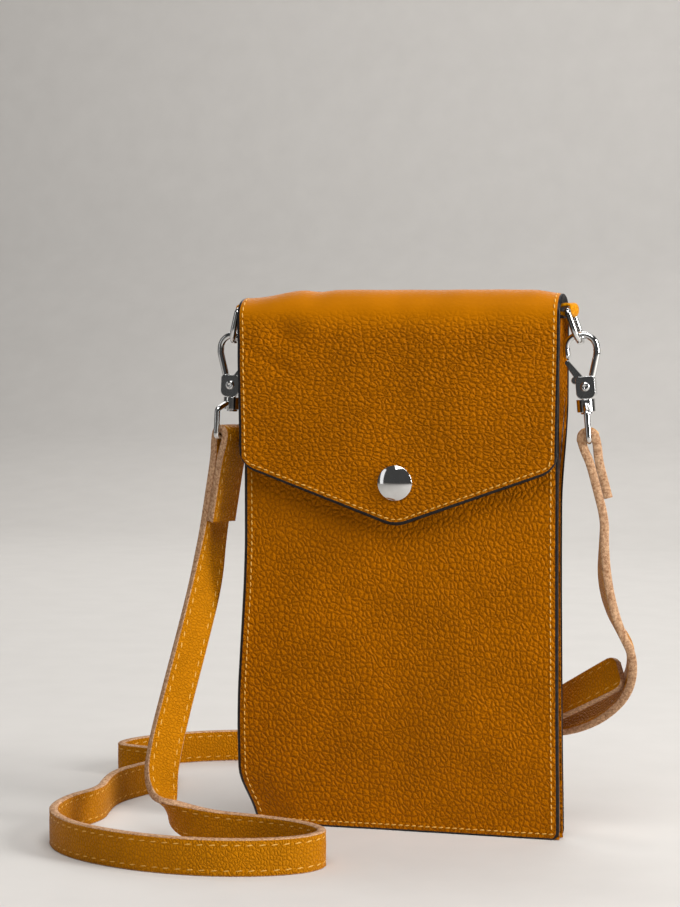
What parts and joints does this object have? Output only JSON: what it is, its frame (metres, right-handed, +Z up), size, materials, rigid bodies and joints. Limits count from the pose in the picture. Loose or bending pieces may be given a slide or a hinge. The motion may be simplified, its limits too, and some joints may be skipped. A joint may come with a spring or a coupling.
{
  "type": "phone pouch",
  "caption": "Flat leather phone pouch with a pointed snap flap, folded gussets and side rings, carrying a shoulder strap on swivel hooks, with a pin buckle.",
  "frame": {"origin": "middle of the pouch's footprint on the floor, with the rings and without the strap", "axes": "+Z up, -Y out of the pouch's front, +X to the right as seen from the front"},
  "size_m": [0.2115, 0.1899, 0.187],
  "materials": {
    "pouch_leather": "ochre pebbled leather with black painted edges",
    "strap_leather": "ochre pebbled leather with raw tan edges",
    "lining_cloth": "dark woven lining",
    "bright_metal": "polished nickel plate",
    "spring_steel": "bright spring steel"
  },
  "bodies": {
    "pouch": {"front_panel": "pouch_leather", "back_panel": "pouch_leather", "gusset_left": "pouch_leather", "gusset_right": "pouch_leather", "gusset_bottom": "pouch_leather", "ring_tab_left": "pouch_leather", "ring_tab_right": "pouch_leather", "front_lining": "lining_cloth", "back_lining": "lining_cloth", "snap_stud": "bright_metal", "snap_post": "bright_metal", "strap_left_drop": "strap_leather", "strap_floor_loop": "strap_leather", "strap_rear_run": "strap_leather", "strap_tail": "strap_leather", "strap_right_drop": "strap_leather", "buckle_fold": "strap_leather", "buckle_frame": "bright_metal", "strap_keeper": "strap_leather"},
    "flap": {"flap_panel": "pouch_leather", "flap_lining": "lining_cloth", "snap_cap": "bright_metal", "snap_socket": "bright_metal", "snap_spring": "spring_steel"},
    "prong": {"buckle_prong": "bright_metal"},
    "fold": {"flap_fold": "pouch_leather", "fold_lining": "lining_cloth"},
    "ring_left": {"d_ring_left": "bright_metal"},
    "hook_left": {"hook_frame_left": "bright_metal", "gate_rivet_left": "bright_metal", "gate_spring_left": "spring_steel"},
    "gate_left": {"hook_gate_left": "bright_metal"},
    "swivel_left": {"swivel_eye_left": "bright_metal", "strap_end_left": "strap_leather"},
    "ring_right": {"d_ring_right": "bright_metal"},
    "hook_right": {"hook_frame_right": "bright_metal", "gate_rivet_right": "bright_metal", "gate_spring_right": "spring_steel"},
    "gate_right": {"hook_gate_right": "bright_metal"},
    "swivel_right": {"swivel_eye_right": "bright_metal", "strap_end_right": "strap_leather"}
  },
  "joints": [
    {"name": "fold_hinge", "type": "hinge", "parent": "pouch", "child": "fold", "pos_m": [0, 0.00758, 0.18448], "axis": [-1, 0, 0], "range_deg": [0, 90], "deforming": ["flap_fold", "fold_lining"]},
    {"name": "flap_hinge", "type": "hinge", "parent": "fold", "child": "flap", "pos_m": [0, -0.00538, 0.18448], "axis": [-1, 0, 0], "range_deg": [0, 90], "deforming": ["flap_fold", "fold_lining"]},
    {"name": "prong_lift", "type": "hinge", "parent": "pouch", "child": "prong", "pos_m": [0.02659, 0.03849, 0.0314], "axis": [0.2605, 0.7026, 0.6622], "range_deg": [0, 5]},
    {"name": "ring_left_swing", "type": "hinge", "parent": "pouch", "child": "ring_left", "pos_m": [-0.0575, 0.0024, 0.18], "axis": [0, 1, 0], "range_deg": [0, 50], "deforming": ["strap_left_drop"]},
    {"name": "hook_left_swing", "type": "hinge", "parent": "ring_left", "child": "hook_left", "pos_m": [-0.06006, 0.0024, 0.16889], "axis": [0, 1, 0], "range_deg": [0, 35], "deforming": ["strap_left_drop"]},
    {"name": "gate_left_squeeze", "type": "hinge", "parent": "hook_left", "child": "gate_left", "pos_m": [-0.06134, 0.0024, 0.15404], "axis": [0, -1, 0], "range_deg": [0, 22], "stiffness_Nm_per_rad": 0.02, "springref_deg": -14.32, "deforming": ["gate_spring_left"]},
    {"name": "swivel_left_turn", "type": "hinge", "parent": "hook_left", "child": "swivel_left", "pos_m": [-0.06111, 0.0024, 0.14892], "axis": [0.0523, 0, 0.9986], "range_deg": [-5, 45], "deforming": ["strap_left_drop"]},
    {"name": "ring_right_swing", "type": "hinge", "parent": "pouch", "child": "ring_right", "pos_m": [0.0575, 0.0024, 0.18], "axis": [0, -1, 0], "range_deg": [0, 50], "deforming": ["strap_right_drop"]},
    {"name": "hook_right_swing", "type": "hinge", "parent": "ring_right", "child": "hook_right", "pos_m": [0.06149, 0.0024, 0.16932], "axis": [0, -1, 0], "range_deg": [0, 35], "deforming": ["strap_right_drop"]},
    {"name": "gate_right_squeeze", "type": "hinge", "parent": "hook_right", "child": "gate_right", "pos_m": [0.06329, 0.0024, 0.15452], "axis": [0, 1, 0], "range_deg": [0, 22], "stiffness_Nm_per_rad": 0.02, "springref_deg": -14.32, "deforming": ["gate_spring_right"]},
    {"name": "swivel_right_turn", "type": "hinge", "parent": "hook_right", "child": "swivel_right", "pos_m": [0.06323, 0.0024, 0.1494], "axis": [-0.0872, 0, 0.9962], "continuous": true, "deforming": ["strap_right_drop"]}
  ],
  "couplings": [
    {"joint": "flap_hinge", "follows": "fold_hinge", "ratio": 1}
  ]
}
